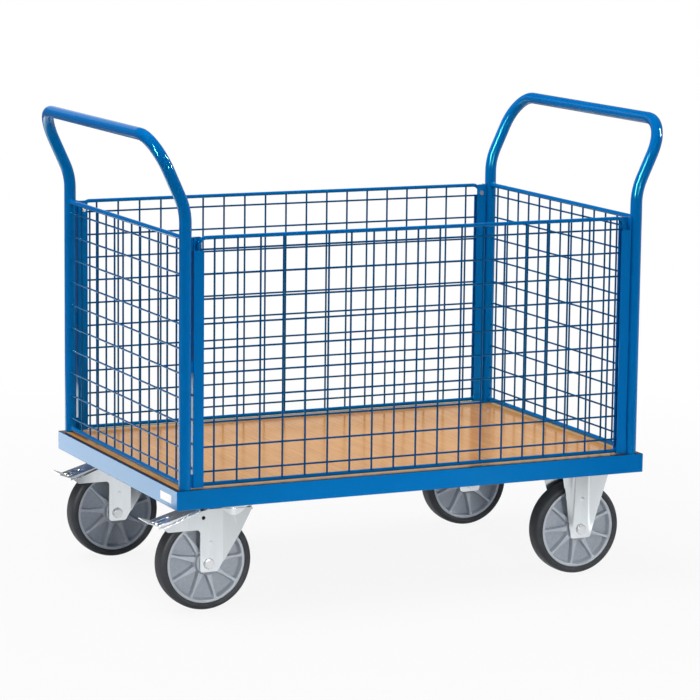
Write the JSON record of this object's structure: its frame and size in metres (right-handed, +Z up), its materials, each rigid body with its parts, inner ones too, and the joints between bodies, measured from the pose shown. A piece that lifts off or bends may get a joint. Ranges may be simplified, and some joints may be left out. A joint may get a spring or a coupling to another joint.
{
  "type": "mesh trolley",
  "caption": "Platform trolley with wire mesh on all sides, lift-out long panels, a push handle at each end, braked swivel castors and fixed castors.",
  "frame": {"origin": "on the floor, under the middle of the deck", "axes": "+X along the deck from the braked swivel castors to the fixed castors, +Y across it, +Z up"},
  "size_m": [1.183, 0.7, 0.9885],
  "materials": {
    "blue_powder_coat": "gloss",
    "beech_board": "satin",
    "zinc_plated_steel": "satin",
    "zinc_fasteners": "satin",
    "grey_rubber_tyre": "matte",
    "grey_rim_plastic": "satin",
    "bearing_cage": "satin"
  },
  "bodies": {
    "chassis": {"frame_rail_front": "blue_powder_coat", "frame_rail_rear": "blue_powder_coat", "frame_rail_left": "blue_powder_coat", "frame_rail_right": "blue_powder_coat", "castor_beam_left": "blue_powder_coat", "castor_beam_right": "blue_powder_coat", "centre_beam": "blue_powder_coat", "deck_board": "beech_board", "castor_bolts": "zinc_fasteners", "castor_nuts": "zinc_fasteners", "end_tube_left": "blue_powder_coat", "end_rods_left": "blue_powder_coat", "end_uprights_left": "blue_powder_coat", "end_cross_wires_left": "blue_powder_coat", "end_tube_right": "blue_powder_coat", "end_rods_right": "blue_powder_coat", "end_uprights_right": "blue_powder_coat", "end_cross_wires_right": "blue_powder_coat", "channel_front_left": "blue_powder_coat", "channel_front_right": "blue_powder_coat", "channel_rear_left": "blue_powder_coat", "channel_rear_right": "blue_powder_coat", "channel_tabs": "blue_powder_coat", "clamp_screws": "zinc_fasteners", "castor_plate_front": "zinc_plated_steel", "kingpin_front": "zinc_fasteners", "fixed_bracket_front": "zinc_plated_steel", "axle_fixed_front": "zinc_fasteners", "castor_plate_rear": "zinc_plated_steel", "kingpin_rear": "zinc_fasteners", "fixed_bracket_rear": "zinc_plated_steel", "axle_fixed_rear": "zinc_fasteners"},
    "front_panel": {"front_panel_frame": "blue_powder_coat", "front_panel_uprights": "blue_powder_coat", "front_panel_cross_wires": "blue_powder_coat"},
    "swivel_front": {"fork_front": "zinc_plated_steel", "swivel_balls_front": "zinc_fasteners", "axle_swivel_front": "zinc_fasteners", "pedal_pin_front": "zinc_fasteners"},
    "pedal_front": {"brake_pedal_front": "zinc_plated_steel"},
    "wheel_swivel_front": {"rim_swivel_front": "grey_rim_plastic", "tyre_swivel_front": "grey_rubber_tyre", "bearing_swivel_front": "bearing_cage"},
    "wheel_fixed_front": {"rim_fixed_front": "grey_rim_plastic", "tyre_fixed_front": "grey_rubber_tyre", "bearing_fixed_front": "bearing_cage"},
    "rear_panel": {"rear_panel_frame": "blue_powder_coat", "rear_panel_uprights": "blue_powder_coat", "rear_panel_cross_wires": "blue_powder_coat"},
    "swivel_rear": {"fork_rear": "zinc_plated_steel", "swivel_balls_rear": "zinc_fasteners", "axle_swivel_rear": "zinc_fasteners", "pedal_pin_rear": "zinc_fasteners"},
    "pedal_rear": {"brake_pedal_rear": "zinc_plated_steel"},
    "wheel_swivel_rear": {"rim_swivel_rear": "grey_rim_plastic", "tyre_swivel_rear": "grey_rubber_tyre", "bearing_swivel_rear": "bearing_cage"},
    "wheel_fixed_rear": {"rim_fixed_rear": "grey_rim_plastic", "tyre_fixed_rear": "grey_rubber_tyre", "bearing_fixed_rear": "bearing_cage"}
  },
  "joints": [
    {"name": "front_panel_lift", "type": "slide", "parent": "chassis", "child": "front_panel", "axis": [0, 0, 1], "range_m": [0, 0.52]},
    {"name": "front_castor_swivel", "type": "hinge", "parent": "chassis", "child": "swivel_front", "pos_m": [-0.383, -0.262, 0.21], "axis": [0, 0, 1], "continuous": true},
    {"name": "front_swivel_wheel_spin", "type": "hinge", "parent": "swivel_front", "child": "wheel_swivel_front", "pos_m": [-0.443, -0.262, 0.1], "axis": [0, 1, 0], "continuous": true},
    {"name": "front_fixed_wheel_spin", "type": "hinge", "parent": "chassis", "child": "wheel_fixed_front", "pos_m": [0.418, -0.262, 0.1], "axis": [0, 1, 0], "continuous": true},
    {"name": "front_pedal_press", "type": "hinge", "parent": "swivel_front", "child": "pedal_front", "pos_m": [-0.465, -0.262, 0.2025], "axis": [0, -1, 0], "range_deg": [0, 5]},
    {"name": "rear_panel_lift", "type": "slide", "parent": "chassis", "child": "rear_panel", "axis": [0, 0, 1], "range_m": [0, 0.52]},
    {"name": "rear_castor_swivel", "type": "hinge", "parent": "chassis", "child": "swivel_rear", "pos_m": [-0.383, 0.262, 0.21], "axis": [0, 0, 1], "continuous": true},
    {"name": "rear_swivel_wheel_spin", "type": "hinge", "parent": "swivel_rear", "child": "wheel_swivel_rear", "pos_m": [-0.443, 0.262, 0.1], "axis": [0, 1, 0], "continuous": true},
    {"name": "rear_fixed_wheel_spin", "type": "hinge", "parent": "chassis", "child": "wheel_fixed_rear", "pos_m": [0.418, 0.262, 0.1], "axis": [0, 1, 0], "continuous": true},
    {"name": "rear_pedal_press", "type": "hinge", "parent": "swivel_rear", "child": "pedal_rear", "pos_m": [-0.465, 0.262, 0.2025], "axis": [0, -1, 0], "range_deg": [0, 5]}
  ]
}
